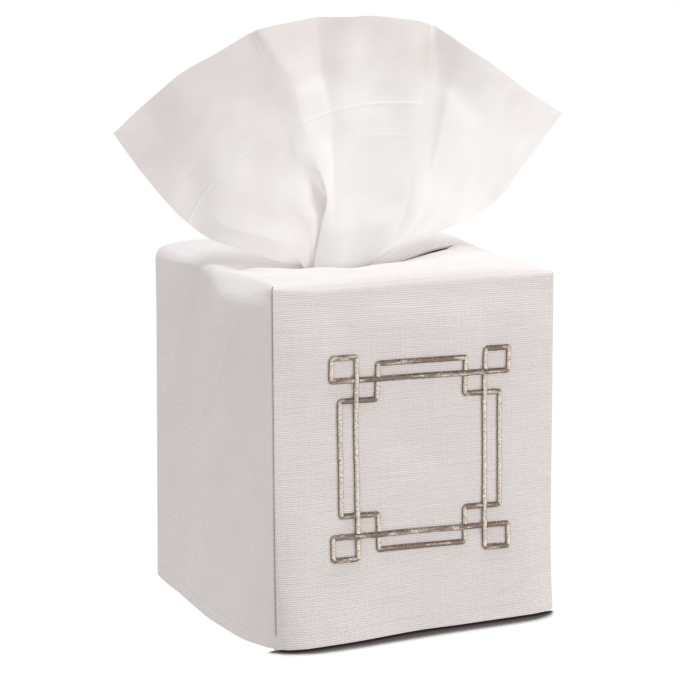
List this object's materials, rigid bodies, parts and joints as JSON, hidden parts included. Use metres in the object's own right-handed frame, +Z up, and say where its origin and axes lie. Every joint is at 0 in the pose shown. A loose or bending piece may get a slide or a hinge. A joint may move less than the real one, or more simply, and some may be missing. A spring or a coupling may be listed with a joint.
{
  "type": "tissue box cover",
  "caption": "Square linen tissue box cover with an embroidered knot border on the front, over a pop-up carton with a tissue drawn through the slit top.",
  "frame": {"origin": "centre of the carton's base, on the surface that the part stands on", "axes": "+Z up, -Y out of the embroidered front, +X to the right seen from the front, along the slit"},
  "size_m": [0.188, 0.1157, 0.2251],
  "materials": {
    "linen": "matte",
    "embroidery_thread": "satin",
    "carton_board": "matte",
    "film": "gloss",
    "tissue": "matte"
  },
  "bodies": {
    "carton": {"carton_front_wall": "carton_board", "carton_back_wall": "carton_board", "carton_left_wall": "carton_board", "carton_right_wall": "carton_board", "carton_glue_flap": "carton_board", "carton_top_panel": "carton_board", "carton_top_front_flap": "carton_board", "carton_top_back_flap": "carton_board", "carton_bottom_panel": "carton_board", "carton_bottom_inner_flap": "carton_board", "carton_bottom_dust_flaps": "carton_board", "slit_film": "film", "tissue_clip": "tissue", "next_tissue": "tissue"},
    "cover": {"front_panel": "linen", "back_panel": "linen", "left_panel": "linen", "right_panel": "linen", "top_panel": "linen", "slit_facing": "linen", "front_hem": "linen", "back_hem": "linen", "left_hem": "linen", "right_hem": "linen", "front_left_seam": "linen", "front_right_seam": "linen", "back_left_seam": "linen", "back_right_seam": "linen", "embroidery_looped_square": "embroidery_thread", "embroidery_notched_square": "embroidery_thread"},
    "tissue": {"popped_tissue": "tissue"}
  },
  "joints": [
    {"name": "cover_lift", "type": "slide", "parent": "carton", "child": "cover", "axis": [0, 0, 1], "range_m": [0, 0.14]},
    {"name": "tissue_pull", "type": "slide", "parent": "cover", "child": "tissue", "axis": [0, 0, 1], "range_m": [0, 0.105]}
  ]
}
